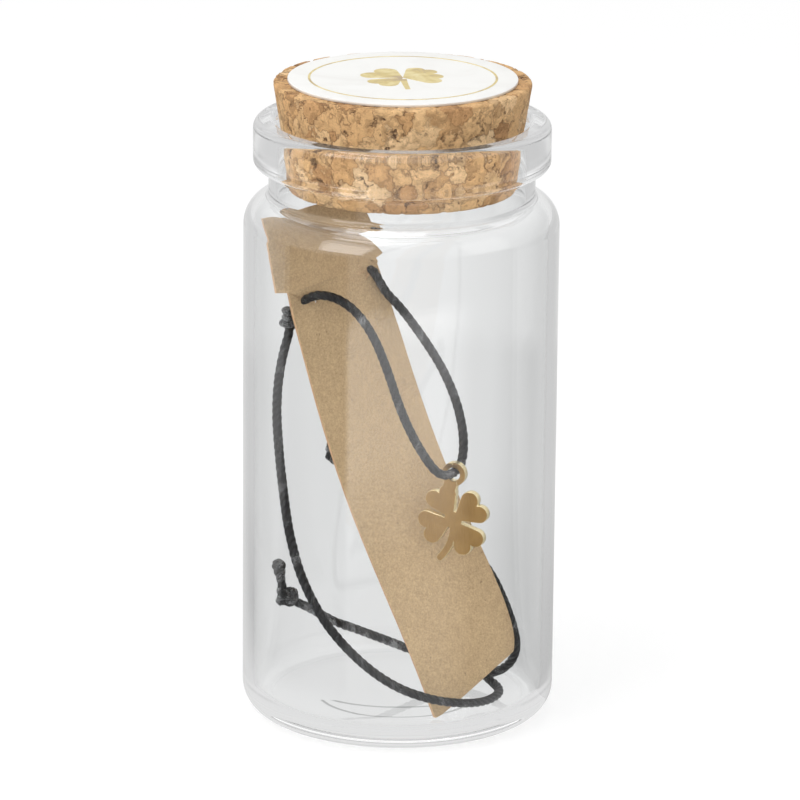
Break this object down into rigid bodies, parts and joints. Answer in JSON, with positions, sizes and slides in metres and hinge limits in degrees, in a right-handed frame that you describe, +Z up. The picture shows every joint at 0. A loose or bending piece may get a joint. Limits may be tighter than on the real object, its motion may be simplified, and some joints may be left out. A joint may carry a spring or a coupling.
{
  "type": "message in a bottle",
  "caption": "Small corked glass vial holding a slit kraft card, on which a knotted waxed cord bracelet with a flat four-leaf clover charm is threaded.",
  "frame": {"origin": "middle of the foot ring, on the surface that the vial stands on", "axes": "+Z up the vial to its cork, -Y towards the side that the card's face and the charm show"},
  "size_m": [0.037, 0.037, 0.0769],
  "materials": {
    "clear_glass": "clear, polished",
    "cork": "agglomerated cork granules, matt",
    "white_paper": "smooth white with a thin gold ring and leaf print",
    "kraft_card": "uncoated brown kraft, fine fibres",
    "waxed_cord": "black waxed cotton, slightly glossy",
    "gold_plate": "satin gold plate with bright cut edges"
  },
  "bodies": {
    "bottle": {"bottle_glass": "clear_glass"},
    "cork": {"cork_stopper": "cork", "cork_top_disc": "white_paper"},
    "contents": {"message_card": "kraft_card", "bracelet_cord": "waxed_cord", "slip_knot": "waxed_cord", "end_knot_left": "waxed_cord", "end_knot_back": "waxed_cord"},
    "charm": {"clover_charm": "gold_plate"}
  },
  "joints": [
    {"name": "cork_pull", "type": "slide", "parent": "bottle", "child": "cork", "axis": [0, 0, 1], "range_m": [0, 0.03]},
    {"name": "contents_turn", "type": "hinge", "parent": "bottle", "child": "contents", "pos_m": [0, 0, 0], "axis": [0, 0, 1], "continuous": true},
    {"name": "charm_swing", "type": "hinge", "parent": "contents", "child": "charm", "pos_m": [0.00637, -0.01005, 0.03235], "axis": [-0.3872, -0.922, 0], "range_deg": [-20, 12]}
  ]
}
